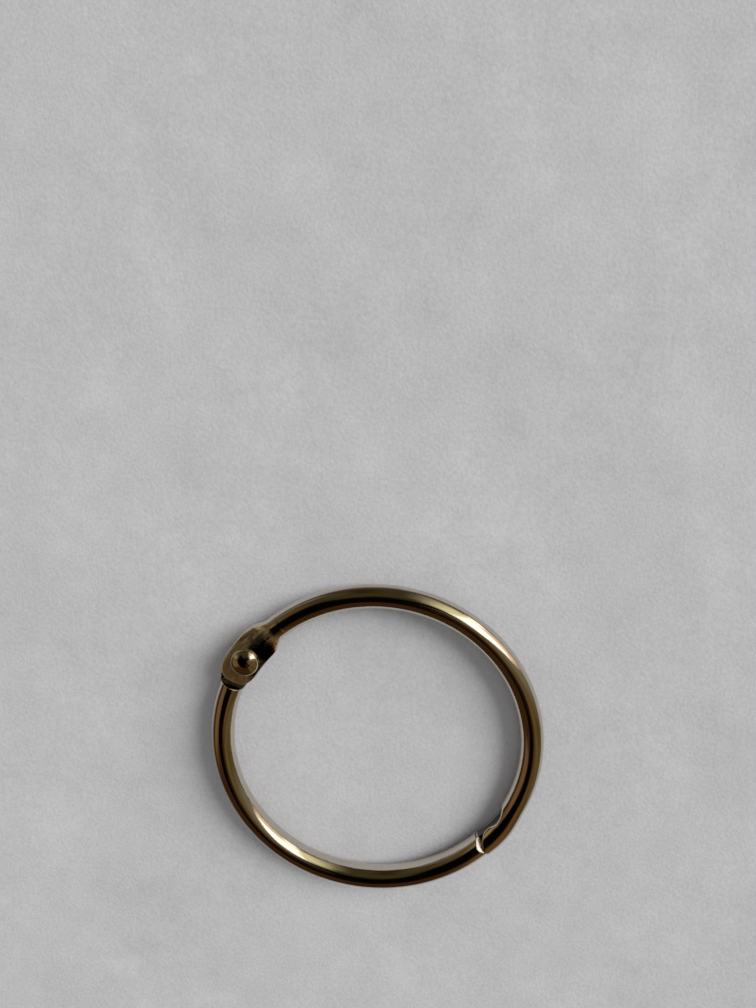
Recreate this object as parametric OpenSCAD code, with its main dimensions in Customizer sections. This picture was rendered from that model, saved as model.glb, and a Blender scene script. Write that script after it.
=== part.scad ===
// Hinged binder ring: two half rings of round steel wire, riveted together at one end,
// with a tongue and channel catch at the other. It lies flat with the rivet's head up.
// The origin is the centre of the closed ring, on the wire's mid plane.

/* [Ring] */
// Inside diameter of the closed ring
inner_d = 44; // [36:1:75]
// Diameter of the steel wire
wire_d = 3.6; // [3:0.1:4.5]

/* [Hinge] */
// Where the rivet sits round the ring, anticlockwise from +X
hinge_at = 145; // [90:5:180]
// Width of a pressed leaf across the wire
leaf_w = 5.7; // [5:0.1:7.5]
// How far a leaf's face is pressed down below the top of the round wire
leaf_drop = 0.1; // [0.04:0.02:0.3]
// From the rivet's axis to the rounded nose of a leaf
leaf_nose = 4; // [3.4:0.1:5]
// Free space between a leaf's nose and the other half's shoulder
nose_gap = 0.95; // [0.4:0.05:2]
// How far before the shoulder the round wire begins to spread
spread_lead = 1.7; // [0.8:0.1:3]
// Length over which the wire spreads to the leaf's full width
spread_len = 3.2; // [2:0.1:5]
// Play between the two leaves
lap_gap = 0.1; // [0.06:0.01:0.2]

/* [Rivet] */
// Diameter of the rivet's shank
rivet_d = 2.5; // [1.8:0.1:3.2]
// Play all round the shank in the upper leaf, which turns on it
turn_gap = 0.05; // [0.02:0.01:0.1]
// Play all round the shank in the lower leaf, which the clenched end grips
grip_gap = 0.02; // [0.01:0.01:0.05]
// Diameter of the rivet's head
head_d = 4.3; // [3.4:0.1:5.4]
// Height of the head's straight rim
head_rim = 0.42; // [0.2:0.02:0.8]
// How far the rim leans in, all round, from its foot to its top
rim_draft = 0.12; // [0:0.02:0.3]
// Height of the dome on top of the rim
dome_rise = 0.68; // [0.3:0.02:1.2]
// Outside diameter of the rolled tubular end
roll_d = 3.1; // [2.7:0.1:4]
// How far the rolled end stands out of the lower leaf
roll_proud = 0.8; // [0.4:0.05:1.2]
// Diameter of the rivet's hollow
hollow_d = 1.9; // [1.2:0.1:2.1]
// Depth of the hollow from the rolled end
hollow_depth = 2.9; // [1.5:0.1:3.5]
// Depth of the dimple that the roll is pressed into
dimple_depth = 0.28; // [0.1:0.02:0.5]
// Width of the dimple's slope outside the roll
dimple_slope = 0.35; // [0.1:0.05:0.6]

/* [Catch] */
// Where the two halves butt together, anticlockwise from +X
catch_at = -46; // [-90:1:-30]
// Space left between the two butting ends
butt_gap = 0.1; // [0.05:0.01:0.3]
// Length of the tongue along the wire
tongue_len = 5.8; // [4:0.1:8]
// Height of the tongue, up the ring's axis
tongue_h = 1.2; // [0.8:0.1:2]
// How far the tongue reaches past the wire's centreline, outwards
tongue_over = 0.2; // [0:0.1:0.4]
// How far the tongue's inner side lies behind the wire's by its tip
tip_taper = 0.5; // [0:0.05:0.8]
// Radius of the fillet where the tongue leaves the end of the wire
root_fillet = 1.2; // [0.3:0.1:1.2]
// Length of the lead-in bevel on the tongue's outer corner
tip_bevel = 0.9; // [0.3:0.1:1.5]
// Play between the tongue and the floor of its channel
floor_gap = 0.12; // [0.06:0.01:0.2]
// Play above and below the tongue in its channel
side_gap = 0.25; // [0.1:0.05:0.4]
// Space between the tongue's tip and the channel's blind end
tip_gap = 0.5; // [0.2:0.1:1.5]
// Height of the locking nib on the tongue, less than the play at the floor
nib_h = 0.08; // [0.02:0.01:0.1]
// Radius of the locking nib
nib_r = 0.5; // [0.3:0.1:0.6]
// Depth of the thumb scoop in the wire's inner side, over the tongue's tip
scoop_depth = 0.52; // [0.2:0.02:1]
// Radius of the thumb scoop
scoop_r = 5; // [3:0.5:10]

/* [Hidden] */

wire_r = wire_d / 2;
ring_r = inner_d / 2 + wire_r;
outer_r = ring_r + wire_r;
leaf_top = wire_r - leaf_drop;
shoulder = leaf_nose + nose_gap;
shank_r = rivet_d / 2;

// Smoothness of round surfaces, and of the long arcs that the catch's faces lie on
$fn = 96;
arc_fn = 360;
// How far a cutting tool runs past what it cuts
past = 1;

// The angle, seen from the ring's centre, of a length laid along the wire
function turn(length) = length / ring_r * 180 / PI;

// The rivet's axis, and the distance from it of a point of the ring
hinge_xy = ring_r * [cos(hinge_at), sin(hinge_at)];
function from_hinge(r, at) = norm(r * [cos(at), sin(at)] - hinge_xy);

// How far round the ring each half's wire reaches from the rivet to its free end
channel_reach = hinge_at - catch_at - turn(butt_gap);
tongue_reach = 360 + catch_at - hinge_at;

// Where things lie round the ring
shoulder_turn = turn(shoulder);
tongue_tip_at = catch_at + turn(tongue_len);
channel_end_at = tongue_tip_at + turn(tip_gap);

// The tongue's outer face and the channel's floor are arcs round the rivet's axis,
// so that they slide past each other as the ring opens
tongue_face_r = from_hinge(ring_r + tongue_over, catch_at);
channel_floor_r = tongue_face_r + floor_gap;
channel_h = tongue_h + 2 * side_gap;
// The channel's rims, where its walls meet the wire's inner side
rim_r = ring_r - sqrt(wire_r * wire_r - channel_h * channel_h / 4);

// ---- Round wire ----

// A length of the ring's wire between two angles
module wire(from, to) {
    rotate([0, 0, from])
        rotate_extrude(angle = to - from)
            translate([ring_r, 0])
                circle(r = wire_r);
}

// A block of the ring's space between two angles, two radii and two heights
module sector(from, to, r_in, r_out, z_low, z_high) {
    rotate([0, 0, from])
        rotate_extrude(angle = to - from)
            translate([r_in, z_low])
                square([r_out - r_in, z_high - z_low]);
}

module at_hinge() {
    translate([hinge_xy[0], hinge_xy[1], 0])
        children();
}

// ---- Pressed hinge leaf ----
// Made with the rivet at angle 0 on the ring, the wire towards negative angles, the leaf on top.
// Places along it are distances from the rivet, negative towards the wire.

spread_start = -(shoulder + spread_lead);
// The wire's top gives way to the leaf's a little before that, where the leaf is already inside
join_at = spread_start - 0.4;
inside_len = 0.5;
leaf_start = join_at - inside_len;
// The wire spreads a little later on its outer side than on its inner side
outer_lag = 0.6;
// The leaf starts this far inside the wire's surface, so that the two join cleanly
sink = 0.02;
// Height at which the wire gives way to the leaf, above the lap face
join_z = wire_r / 6;
// Squareness of the leaf's section, 2 being round, and of its nose seen from above
leaf_square = 6;
nose_square = 3;
// How far the leaf's top falls away round its nose
nose_fall = 0.25;
// The last section lies just short of the nose's tip, this far round its quarter turn
nose_turn = 84.5;

lead_steps = 13;
nose_steps = 11;
rim_steps = 24;

function ease(x) = let (t = min(1, max(0, x))) t * t * (3 - 2 * t);
function curve(c, power) = sign(c) * pow(abs(c), power);

// How full the leaf is, falling to nothing at its nose
function fullness(s) =
    s <= 0 ? 1 : pow(1 - pow(s / leaf_nose, nose_square), 1 / nose_square);
// Half the leaf's width, where the spreading lags by a given length
function half_width(s, lag) =
    let (spread = ease((s - spread_start - lag) / spread_len),
         rise = ease((s - join_at) / spread_lead))
    (wire_r - sink * (1 - rise) + (leaf_w / 2 - wire_r) * spread) * fullness(s);
function top_height(s) =
    let (press = ease((s - join_at) / (spread_lead + spread_len)))
    wire_r - sink - (leaf_drop - sink) * press - nose_fall * pow(1 - fullness(s), 3);
function squareness(s) = 2 + (leaf_square - 2) * ease((s - join_at) / (spread_lead + 1));

// The leaf's sections lie closer together towards the nose
section_places = concat(
    [for (i = [0:lead_steps - 1]) leaf_start * (1 - i / lead_steps)],
    [for (i = [0:nose_steps]) leaf_nose * sin(nose_turn * i / nose_steps)]);

// One section's points, from its outer foot over the top to its inner foot
function section(s) =
    let (power = 2 / squareness(s), at = turn(s))
    [for (i = [0:rim_steps])
        let (t = 180 * i / rim_steps,
             side = half_width(s, cos(t) >= 0 ? outer_lag : 0) * curve(cos(t), power),
             r = ring_r + side)
        [r * cos(at), r * sin(at), top_height(s) * curve(sin(t), power)]];

module leaf_body() {
    row = rim_steps + 1;
    last = len(section_places) - 1;
    points = [for (s = section_places) each section(s)];
    skin = [for (i = [0:last - 1], j = [0:rim_steps])
        let (a = i * row + j, b = i * row + (j + 1) % row)
        each [[a, b, b + row], [a, b + row, a + row]]];
    ends = [[for (j = [rim_steps:-1:0]) j], [for (j = [0:rim_steps]) last * row + j]];
    polyhedron(points = points, faces = concat(skin, ends), convexity = 4);
}

// ---- Half ring ----

// Half a ring, with its leaf on top: round wire up to the other half's nose, then the leaf
module half_ring(reach, hole_r) {
    difference() {
        union() {
            difference() {
                wire(-reach, -shoulder_turn);
                sector(turn(join_at), 0, ring_r - wire_d, ring_r + wire_d, join_z, wire_d);
            }
            leaf_body();
        }
        // The lap face, which the other half's leaf slides on
        sector(-shoulder_turn, shoulder_turn, ring_r - leaf_w, ring_r + leaf_w,
            -wire_d, lap_gap / 2);
        translate([ring_r, 0, -wire_d])
            cylinder(r = hole_r, h = 2 * wire_d);
    }
}

// ---- Catch ----

// What is cut out of the wire's end for the tongue, open on the inner side
module channel() {
    intersection() {
        at_hinge()
            cylinder(r = channel_floor_r, h = channel_h, center = true, $fn = arc_fn);
        sector(catch_at - past, channel_end_at, ring_r - wire_d, outer_r, -wire_d, wire_d);
    }
    nib(floor_gap);
}

// The nib that holds the tongue in, or with play all round it, the groove that it snaps into.
// The real wire springs by the nib's height; here the nib stays within the play at the floor.
module nib(play) {
    nib_at = tongue_tip_at - turn(tip_bevel + nib_r);
    toward = ring_r * [cos(nib_at), sin(nib_at)] - hinge_xy;
    at_hinge()
        rotate([0, 0, atan2(toward[1], toward[0])])
            translate([tongue_face_r + nib_h - nib_r, 0, 0])
                cylinder(r = nib_r + play, h = tongue_h + 2 * play, center = true);
}

// Rounds the channel's open end, from the wire's outer side to just past the channel's rims
mouth_clear = 0.03;
module mouth_cut() {
    mouth_r = outer_r - rim_r + mouth_clear;
    mouth_at = catch_at + turn(butt_gap) + mouth_r / outer_r * 180 / PI;
    difference() {
        sector(catch_at - past, mouth_at, ring_r - wire_d, outer_r + past, -wire_d, wire_d);
        rotate([0, 0, mouth_at])
            translate([outer_r, 0, 0])
                cylinder(r = mouth_r, h = 3 * wire_d, center = true);
    }
}

// The shallow hollow across the inner side, which bares the tongue's tip
module scoop() {
    rotate([0, 0, tongue_tip_at])
        translate([inner_d / 2 + scoop_depth - scoop_r, 0, 0])
            cylinder(r = scoop_r, h = 2 * wire_d, center = true);
}

// The tongue's root flares into the wire's end. The flare's ends dip this far under the faces
// that they run into, so that they cross them cleanly.
flare_dip = 0.03;
// How far from the ring's centre the tongue's half round inner side has its centre
core_r = (inner_d + tongue_h) / 2;
// Lean of the bevel on the tongue's outer corner
bevel_lean = 30;

// Half the tongue's height along its length, from inside the wire to the end of the flare
module flare_side() {
    flare_end = root_fillet - flare_dip;
    difference() {
        translate([-past, 0])
            square([flare_end + past, wire_d]);
        translate([flare_end, tongue_h / 2 + flare_end]) {
            circle(r = root_fillet);
            translate([-root_fillet, 0])
                square([2 * root_fillet, wire_d]);
        }
    }
}

// The flared root, rounded on the ring's inner side and flat above and below
module tongue_root() {
    rotate([0, 0, catch_at])
        translate([core_r, 0, 0]) {
            rotate([-90, 0, 0])
                rotate([0, 0, 90])
                    rotate_extrude(angle = 180)
                        mirror([1, -1])
                            flare_side();
            rotate([90, 0, 90])
                linear_extrude(wire_d)
                    union() {
                        flare_side();
                        mirror([0, 1])
                            flare_side();
                    }
        }
}

// The tongue's bar: its section has a half round inner side and flat faces above and below,
// and it is turned about a centre moved along the wire, so that it draws outwards to its tip.
// It runs on inside the wire and past the tongue's tip.
module tongue_bar() {
    off_centre = tip_taper / sin(turn(tongue_len));
    run_in = turn(off_centre + root_fillet);
    run_out = 2 * turn(tongue_len);
    translate(off_centre * [-sin(catch_at), cos(catch_at), 0])
        rotate([0, 0, catch_at - run_in])
            rotate_extrude(angle = run_in + run_out)
                translate([core_r, 0])
                    union() {
                        circle(r = tongue_h / 2);
                        translate([0, -tongue_h / 2])
                            square([wire_d, tongue_h]);
                    }
}

// What the wire's end is cut down to, past the butting face
module tongue() {
    difference() {
        intersection() {
            union() {
                tongue_root();
                tongue_bar();
            }
            at_hinge()
                cylinder(r = tongue_face_r, h = 2 * wire_d, center = true, $fn = arc_fn);
        }
        // The outer corner is bevelled, to find the channel
        rotate([0, 0, tongue_tip_at])
            translate([ring_r + tongue_over - tip_bevel / 2, 0, -wire_d])
                rotate([0, 0, bevel_lean])
                    translate([0, -wire_d, 0])
                        cube([wire_d, 2 * wire_d, 2 * wire_d]);
    }
}

// What is cut away round the tongue
module tongue_cut() {
    difference() {
        sector(catch_at, tongue_tip_at + past, ring_r - wire_d, outer_r + past, -wire_d, wire_d);
        tongue();
    }
}

// ---- Pieces ----

module channel_half() {
    color("silver")
        difference() {
            rotate([0, 0, hinge_at])
                half_ring(channel_reach, shank_r + turn_gap);
            channel();
            mouth_cut();
            scoop();
        }
}

// The same half turned over, so that its leaf lies under the other's
module tongue_half() {
    color("lightgray") {
        difference() {
            rotate([180, 0, hinge_at])
                half_ring(tongue_reach + turn(tongue_len), shank_r + grip_gap);
            tongue_cut();
            at_hinge()
                dimple();
        }
        nib(0);
    }
}

// The dimple in the lower leaf that the rivet's end is rolled into
module dimple() {
    translate([0, 0, -leaf_top - past])
        cylinder(r1 = roll_d / 2 + dimple_slope * (1 + past / dimple_depth),
            r2 = roll_d / 2, h = dimple_depth + past);
}

// Semi-tubular rivet: a domed head above, a hollow end rolled over below
module hinge_rivet() {
    seat = leaf_top + turn_gap;
    bead_r = (roll_d - hollow_d) / 4;
    bead_z = bead_r - leaf_top - roll_proud;
    color("gainsboro")
        at_hinge()
            difference() {
                union() {
                    translate([0, 0, bead_z])
                        cylinder(r = shank_r, h = seat - bead_z + head_rim / 2);
                    translate([0, 0, seat])
                        head();
                    translate([0, 0, bead_z])
                        rolled_end(bead_r, dimple_depth - leaf_top - bead_z);
                }
                translate([0, 0, bead_z])
                    hollow(bead_r);
            }
}

// The head, from its underside up
module head() {
    top_r = head_d / 2 - rim_draft;
    ball_r = (top_r * top_r + dome_rise * dome_rise) / (2 * dome_rise);
    cylinder(r1 = head_d / 2, r2 = top_r, h = head_rim);
    intersection() {
        translate([0, 0, head_rim + dome_rise - ball_r])
            sphere(r = ball_r);
        translate([0, 0, head_rim / 2])
            cylinder(r = top_r, h = dome_rise + head_rim);
    }
}

// The tube's end, rolled outwards into a bead: the collar above it fills the dimple
module rolled_end(bead_r, collar_h) {
    rotate_extrude()
        union() {
            translate([roll_d / 2 - bead_r, 0])
                circle(r = bead_r);
            translate([shank_r / 2, 0])
                square([roll_d / 2 - shank_r / 2, collar_h]);
        }
}

// The tube's hollow, flared at its mouth
module hollow(bead_r) {
    translate([0, 0, -bead_r - past])
        cylinder(r = hollow_d / 2, h = hollow_depth + past);
    translate([0, 0, -bead_r - past])
        cylinder(r1 = hollow_d / 2 + bead_r + past, r2 = hollow_d / 2, h = bead_r + past);
}

channel_half();
tongue_half();
hinge_rivet();
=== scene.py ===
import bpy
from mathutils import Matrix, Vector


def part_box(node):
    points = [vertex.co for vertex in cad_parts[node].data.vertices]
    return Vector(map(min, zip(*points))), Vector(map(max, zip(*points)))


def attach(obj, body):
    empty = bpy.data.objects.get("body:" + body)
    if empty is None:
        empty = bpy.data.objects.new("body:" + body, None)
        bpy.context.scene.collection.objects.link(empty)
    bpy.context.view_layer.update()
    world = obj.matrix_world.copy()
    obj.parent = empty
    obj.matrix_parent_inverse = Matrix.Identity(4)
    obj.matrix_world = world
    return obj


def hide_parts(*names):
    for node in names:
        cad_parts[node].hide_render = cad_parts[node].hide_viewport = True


bl_info = {
    "name": "Binder Ring",
    "version": (1, 0, 0),
    "blender": (4, 5, 0),
    "location": "3D View > Sidebar > Binder Ring",
    "description": "Builds a hinged, nickel plated binder ring on its stage",
    "category": "Add Mesh",
}

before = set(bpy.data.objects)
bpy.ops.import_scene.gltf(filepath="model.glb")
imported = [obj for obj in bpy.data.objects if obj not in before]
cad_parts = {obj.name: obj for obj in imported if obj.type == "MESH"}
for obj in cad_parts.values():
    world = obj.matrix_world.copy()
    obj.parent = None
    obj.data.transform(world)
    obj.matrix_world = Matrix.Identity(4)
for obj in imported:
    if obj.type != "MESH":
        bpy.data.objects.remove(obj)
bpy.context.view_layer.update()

import math

import bpy
from mathutils import Matrix, Vector

# ---- Sizes that the frame gives, in metres and radians ----

CHANNEL_LOW, CHANNEL_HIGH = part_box("channel_half")
RIVET_LOW, RIVET_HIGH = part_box("hinge_rivet")
RIVET_MIDDLE = (RIVET_LOW + RIVET_HIGH) / 2
WIRE_RADIUS = CHANNEL_HIGH.z
OUTER_RADIUS = CHANNEL_HIGH.x
RING_RADIUS = OUTER_RADIUS - WIRE_RADIUS
HINGE_ANGLE = math.atan2(RIVET_MIDDLE.y, RIVET_MIDDLE.x)
HEAD_RADIUS = (RIVET_HIGH.x - RIVET_LOW.x) / 2
# The channel half's lowest corner in Y is its butting end, a hair from the other half's
BUTT_GAP = 0.0001
CATCH_ANGLE = math.asin(CHANNEL_LOW.y / OUTER_RADIUS) - BUTT_GAP / RING_RADIUS

MM = 0.001


# ---- Values worked out node by node ----


class Field:
    """A number that varies over the geometry, so that nodes can be written as arithmetic."""

    def __init__(self, socket):
        self.socket = socket

    def __add__(self, other):
        return maths("ADD", self, other)

    __radd__ = __add__

    def __sub__(self, other):
        return maths("SUBTRACT", self, other)

    def __rsub__(self, other):
        return maths("SUBTRACT", other, self)

    def __mul__(self, other):
        return maths("MULTIPLY", self, other)

    __rmul__ = __mul__

    def __truediv__(self, other):
        return maths("DIVIDE", self, other)

    def __pow__(self, other):
        return maths("POWER", self, other)

    def __neg__(self):
        return maths("MULTIPLY", self, -1)


def tree_of(*values):
    """The node tree that the first field among some values belongs to."""
    return next(v for v in values if isinstance(v, Field)).socket.id_data


def plug(socket, value):
    """Links a field into a socket, or sets the socket to a plain value."""
    if isinstance(value, Field):
        socket.id_data.links.new(value.socket, socket)
    elif isinstance(value, bpy.types.NodeSocket):
        socket.id_data.links.new(value, socket)
    else:
        socket.default_value = value


def maths(operation, *values):
    """A Math node's result."""
    node = tree_of(*values).nodes.new("ShaderNodeMath")
    node.operation = operation
    for socket, value in zip(node.inputs, values):
        plug(socket, value)
    return Field(node.outputs[0])


def least(a, b):
    return maths("MINIMUM", a, b)


def most(a, b):
    return maths("MAXIMUM", a, b)


def join(a, b, fillet):
    """Two shapes as one, with a fillet of about that size between them."""
    return maths("SMOOTH_MIN", a, b, fillet)


def cut(a, b, rounding):
    """What both shapes share, with that much rounding on the edge between them."""
    return maths("SMOOTH_MAX", a, b, rounding)


def magnitude(a):
    return maths("ABSOLUTE", a)


def root(a):
    return maths("SQRT", a)


def hypot(a, b):
    """The length of the line to a point that far along two axes."""
    return root(a * a + b * b)


def ease(value, start, end):
    """0 before start, 1 after end, and smooth between them."""
    node = tree_of(value, start, end).nodes.new("ShaderNodeMapRange")
    node.interpolation_type = "SMOOTHSTEP"
    for name, v in (("Value", value), ("From Min", start), ("From Max", end)):
        plug(node.inputs[name], v)
    return Field(node.outputs[0])


def mix(a, b, share):
    """A value that share of the way from a to b."""
    return a + (b - a) * share


def split(vector_socket):
    """A vector's three parts as fields."""
    node = vector_socket.id_data.nodes.new("ShaderNodeSeparateXYZ")
    plug(node.inputs[0], vector_socket)
    return [Field(s) for s in node.outputs]


def vector(x, y, z):
    """A vector socket from three values."""
    node = tree_of(x, y, z).nodes.new("ShaderNodeCombineXYZ")
    for socket, value in zip(node.inputs, (x, y, z)):
        plug(socket, value)
    return node.outputs[0]


def noise(place, scale, detail=0.0, roughness=0.5, seed=0.0):
    """A smooth random value from 0 to 1, evenly about a half."""
    node = place.id_data.nodes.new("ShaderNodeTexNoise")
    node.noise_dimensions = "4D"
    plug(node.inputs["Vector"], place)
    settings = {"W": seed, "Scale": scale, "Detail": detail, "Roughness": roughness}
    for name, value in settings.items():
        plug(node.inputs[name], value)
    return Field(node.outputs[0])


# ---- Node groups ----


def new_group(name, kind, inputs, outputs):
    """A node group, its inputs as fields or sockets by name, and its output node."""
    group = bpy.data.node_groups.new(name, kind)
    for in_out, sockets in (("INPUT", inputs), ("OUTPUT", outputs)):
        for label, socket_type, *default in sockets:
            made = group.interface.new_socket(
                label, in_out=in_out, socket_type=f"NodeSocket{socket_type}")
            if default:
                made.default_value = default[0]
    entry = group.nodes.new("NodeGroupInput")
    given = {s.name: Field(s) if s.type == "VALUE" else s for s in entry.outputs if s.name}
    return group, given, group.nodes.new("NodeGroupOutput")


def place_group(tree, group, values):
    """The group as a node in a tree, with the values that have one of its inputs' names."""
    kinds = {"GeometryNodeTree": "GeometryNodeGroup", "ShaderNodeTree": "ShaderNodeGroup"}
    node = tree.nodes.new(kinds[tree.bl_idname])
    node.node_tree = group
    for socket in node.inputs:
        if socket.name in values:
            plug(socket, values[socket.name])
    return node


def sizes(**named):
    """Socket descriptions from python names: ring_radius becomes Ring Radius."""
    return [(name.replace("_", " ").title(), "Float", value) for name, value in named.items()]


# ---- The shapes, as distances in millimetres ----
# A half ring is worked out straight: X runs along its wire from the rivet, negative to the nose,
# Y away from the ring's centre, and Z to the side that its leaf is on. Inside a shape, the
# distance is negative.

HALF_SIZES = sizes(
    ring_radius=RING_RADIUS / MM,
    wire_radius=WIRE_RADIUS / MM,
    leaf_half_width=2.85,
    leaf_height=1.7,
    leaf_crown=0.022,
    nose_length=4.0,
    shoulder=4.95,
    inner_taper_start=3.6,
    inner_taper_end=7.4,
    outer_taper_start=2.4,
    outer_taper_end=8.4,
    lap_height=0.05,
    rivet_hole=1.3,
    unevenness=0.012,
    seed=0.0,
)


def wire_and_leaf(place, s):
    """The wire, pressed at its start into a flat leaf that carries the rivet."""
    middle_blend = 0.6
    inner_breadth, outer_breadth = 0.9, 1.014
    bluntness = 2.8
    nose_drop = 0.3
    press_before, press_after = 0.3, 2.0
    fade_before, fade_slope = 0.6, 0.3

    along, across, up = split(place)
    wire = hypot(across, up) - s["Wire Radius"]

    # The leaf's outline, seen from above: it widens from the wire, more gently on the ring's
    # outer side, and ends in a blunt nose
    outside = ease(across, -middle_blend, middle_blend)
    broad = s["Leaf Half Width"] * mix(inner_breadth, outer_breadth, outside)
    taper = ease(along, mix(s["Inner Taper Start"], s["Outer Taper Start"], outside),
        mix(s["Inner Taper End"], s["Outer Taper End"], outside))
    half_width = mix(broad, s["Wire Radius"], taper)
    nose = most(-along, 0.0) / s["Nose Length"]
    side = magnitude(across) / half_width
    rim = (side ** bluntness + nose ** bluntness) ** (1 / bluntness)
    outline = rim * half_width - half_width
    face = up - s["Leaf Height"] + across * across * s["Leaf Crown"] + nose ** 4.0 * nose_drop
    pressed = cut(outline, face, rounding=0.3)

    # The face gives way to the round wire at the shoulder, and past its taper it sinks into it
    share = 1 - ease(along, s["Shoulder"] - press_before, s["Shoulder"] + press_after)
    sunk = most(along - (s["Outer Taper End"] - fade_before), 0.0) * fade_slope
    top = mix(wire, pressed, share) + sunk
    leaf = cut(top, s["Lap Height"] - up, rounding=0.1)

    stem = cut(wire, s["Shoulder"] - along, rounding=0.14)
    half = join(leaf, stem, fillet=0.16)
    return cut(half, s["Rivet Hole"] - hypot(along, across), rounding=0.06)


def leaf_marks(place, s):
    """Where the leaf's face is pressed, and where it is stained, from 0 to 1."""
    face_low, face_high = 0.9, 1.3
    press_full, press_gone = 0.9, 1.9
    streak_length, streak_count, streak_reach = 0.5, 3.0, 3.5
    patch_start, patch_end, patch_side = (1.0, 2.6), (4.0, 6.0), (-0.6, 1.8)
    beside_start, beside_end, beside_side = (-3.0, -1.0), (1.6, 3.0), (-2.3, -1.4)
    beside_strength = 0.6

    along, across, up = split(place)
    on_face = ease(up, face_low, face_high)
    shoulder = s["Shoulder"]
    pressed = (1 - ease(along, shoulder + press_full, shoulder + press_gone)) * on_face

    # The stain lies behind the head, and fades out in streaks beside it on the inner side
    streaks = noise(vector(along * streak_length, across * streak_count, up), scale=1.2,
        detail=3.0, seed=11.0)
    wander = (streaks - 0.5) * streak_reach
    # The leaf is stained behind the head, and the patch fades out in streaks beside it on the inner
    # side
    behind_head = ease(along, *patch_start) * (1 - ease(along + wander, *patch_end))
    patch = behind_head * (1 - ease(across + wander * 0.7, *patch_side))
    inner_side = 1 - ease(across + wander * 0.3, *beside_side)
    beside_head = (1 - ease(along, *beside_end)) * inner_side * beside_strength
    return pressed, pressed * most(patch, beside_head * ease(along, *beside_start))


def from_hinge(along, across, s):
    """The distance from the rivet's axis, in the bent ring."""
    r = s["Ring Radius"] + across
    turned = maths("COSINE", along / s["Ring Radius"])
    return root(r * r + s["Ring Radius"] * s["Ring Radius"] - 2 * r * s["Ring Radius"] * turned)


CHANNEL_SIZES = sizes(
    reach=79.34,
    channel_half_height=0.85,
    channel_length=6.3,
    floor_radius=47.70,
    mouth_radius=3.43,
    scoop_at=5.0,
    scoop_depth=0.66,
    scoop_radius=5.0,
    scoop_steepness=1.6,
    swell=0.38,
)


def channel_half_shape(place, s):
    """A half ring whose end is slotted for the tongue, spread, rounded at its mouth and scooped."""
    swell_start, swell_end = 3.4, 9.0
    end_swell, full_swell_at = 0.55, 2.8
    mouth_slope = 2
    lip_inset, lip_taper, lip_length = 1.25, 0.075, 7.2

    along, across, up = split(place)
    into = s["Reach"] - along
    stretch = across / s["Ring Radius"] + 1

    # The end is spread outwards by the slotting, most of all a little way in
    rise = ease(into, -1.5, full_swell_at) * (1 - end_swell) + end_swell
    spread = (1 - ease(into, swell_start, swell_end)) * rise * s["Swell"]
    share = ease(across, -s["Wire Radius"], s["Wire Radius"] + spread)
    shape = wire_and_leaf(vector(along, across - spread * share, up), s)

    outer = s["Ring Radius"] + s["Wire Radius"]
    mouth_at = s["Mouth Radius"] * s["Ring Radius"] / outer + BUTT_GAP / MM
    before = most(mouth_at - into, 0.0) * stretch
    mouth = hypot(before, across - s["Wire Radius"]) - s["Mouth Radius"]
    mouth = mouth - most(into - mouth_at, 0.0) * mouth_slope
    shape = cut(shape, mouth, rounding=0.22)

    walls = magnitude(up) - s["Channel Half Height"]
    floor = from_hinge(along, across, s) - s["Floor Radius"]
    blind_end = into - s["Channel Length"]
    slot = cut(cut(walls, floor, rounding=0.1), blind_end, rounding=0.3)
    shape = cut(shape, -slot, rounding=0.09)

    # The scoop is steeper towards the mouth, and the lower lip is cut back under the tongue
    scoop_centre = s["Wire Radius"] - s["Scoop Depth"] + s["Scoop Radius"]
    past = (into - s["Scoop At"]) * stretch
    past = most(past, 0.0) + least(past, 0.0) * s["Scoop Steepness"]
    scoop = hypot(past, across + scoop_centre) - s["Scoop Radius"]
    shape = cut(shape, -scoop, rounding=0.35)
    inner_side = cut(across + lip_inset - into * lip_taper, up, rounding=0.3)
    lower_lip = cut(inner_side, into - lip_length, rounding=0.4)
    return cut(shape, -lower_lip, rounding=0.2)


def channel_half_marks(place, s):
    """Where the half is pressed, stained and machined; the slot's inside is painted dark as shade.
    """
    depth_range, slot_end = (0.06, 0.3), (6.8, 7.6)
    inside_wall, past_wall = 0.02, 0.14
    machined_share = 0.6

    along, across, up = split(place)
    pressed, stain = leaf_marks(place, s)
    into = s["Reach"] - along
    depth = s["Wire Radius"] - hypot(across, up)
    deep = ease(depth, *depth_range) * (1 - ease(into, *slot_end))
    wall = s["Channel Half Height"]
    inside = 1 - ease(magnitude(up), wall + inside_wall, wall + past_wall)
    # The slot's inside is painted dark as shade, in the same mark as the leaf's stains
    return pressed, most(stain, deep * inside), deep * machined_share


TONGUE_LENGTH = 5.8
TONGUE_SIZES = sizes(
    reach=70.2,
    tongue_length=TONGUE_LENGTH,
    tongue_half_height=0.6,
    tongue_inner_face=-1.62,
    tongue_draw=0.13,
    cut_angle=math.radians(38),
    cut_back=0.36,
    cut_lean=0.12,
    face_radius=47.58,
    nib_height=0.08,
)


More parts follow.
